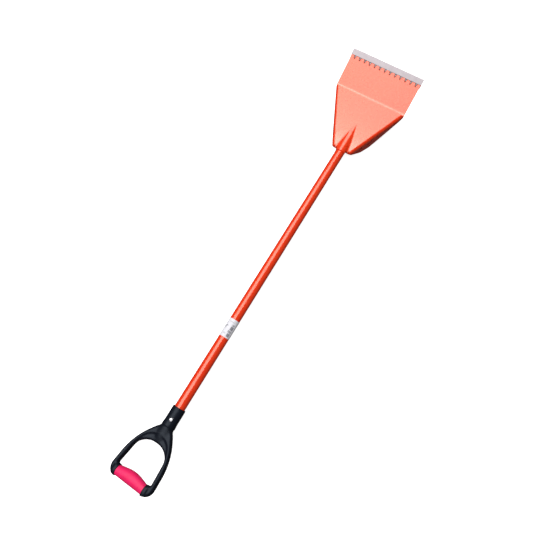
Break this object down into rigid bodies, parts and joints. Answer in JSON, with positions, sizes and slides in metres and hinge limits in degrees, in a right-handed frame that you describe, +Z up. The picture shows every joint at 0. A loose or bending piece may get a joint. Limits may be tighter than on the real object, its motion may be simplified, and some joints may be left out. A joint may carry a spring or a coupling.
{
  "type": "roofing tear-off shovel",
  "caption": "Long-handled shingle remover: notched steel blade with a fold, side flanges and a rocking heel on a painted tube, a cranked D-handle with a soft grip and a clip-on tooth guard.",
  "frame": {"origin": "bottom centre of the tool's box as it lies on a floor, top side up, on its heel and the lower end of its collar", "axes": "+Y along the shaft towards the blade, +Z up and out of the blade's top side, +X to the right seen from the D-handle"},
  "size_m": [0.233, 1.351, 0.1428],
  "materials": {
    "blade_paint": "glossy orange-red powder coat over pressed steel, tips of the teeth ground bare",
    "shaft_paint": "glossy orange-red powder coat over steel tube",
    "heel_paint": "glossy orange-red powder coat, scuffed on the heel",
    "weld_paint": "rippled weld bead under powder coat",
    "guard_plastic": "milky translucent extruded plastic",
    "handle_plastic": "blue-black moulded plastic, satin",
    "grip_rubber": "soft pink overmoulded grip, satin",
    "rivet_metal": "bright domed blind rivet",
    "pin_metal": "broken-off steel pull pin",
    "label_paper": "white coated sticker with unreadable grey blocks"
  },
  "bodies": {
    "shovel": {"blade": "blade_paint", "heel_strap": "heel_paint", "weld_socket_left": "weld_paint", "weld_socket_right": "weld_paint", "weld_shaft_end": "weld_paint", "weld_heel_left": "weld_paint", "weld_heel_right": "weld_paint", "handle_tube": "shaft_paint", "d_handle": "handle_plastic", "grip_sleeve": "grip_rubber", "collar_rivet": "rivet_metal", "rivet_pin": "pin_metal", "wrap_label": "label_paper"},
    "guard": {"tooth_guard": "guard_plastic"}
  },
  "joints": [
    {"name": "guard_pull", "type": "slide", "parent": "shovel", "child": "guard", "axis": [0, 0.8563, 0.5165], "range_m": [0, 0.05]}
  ]
}
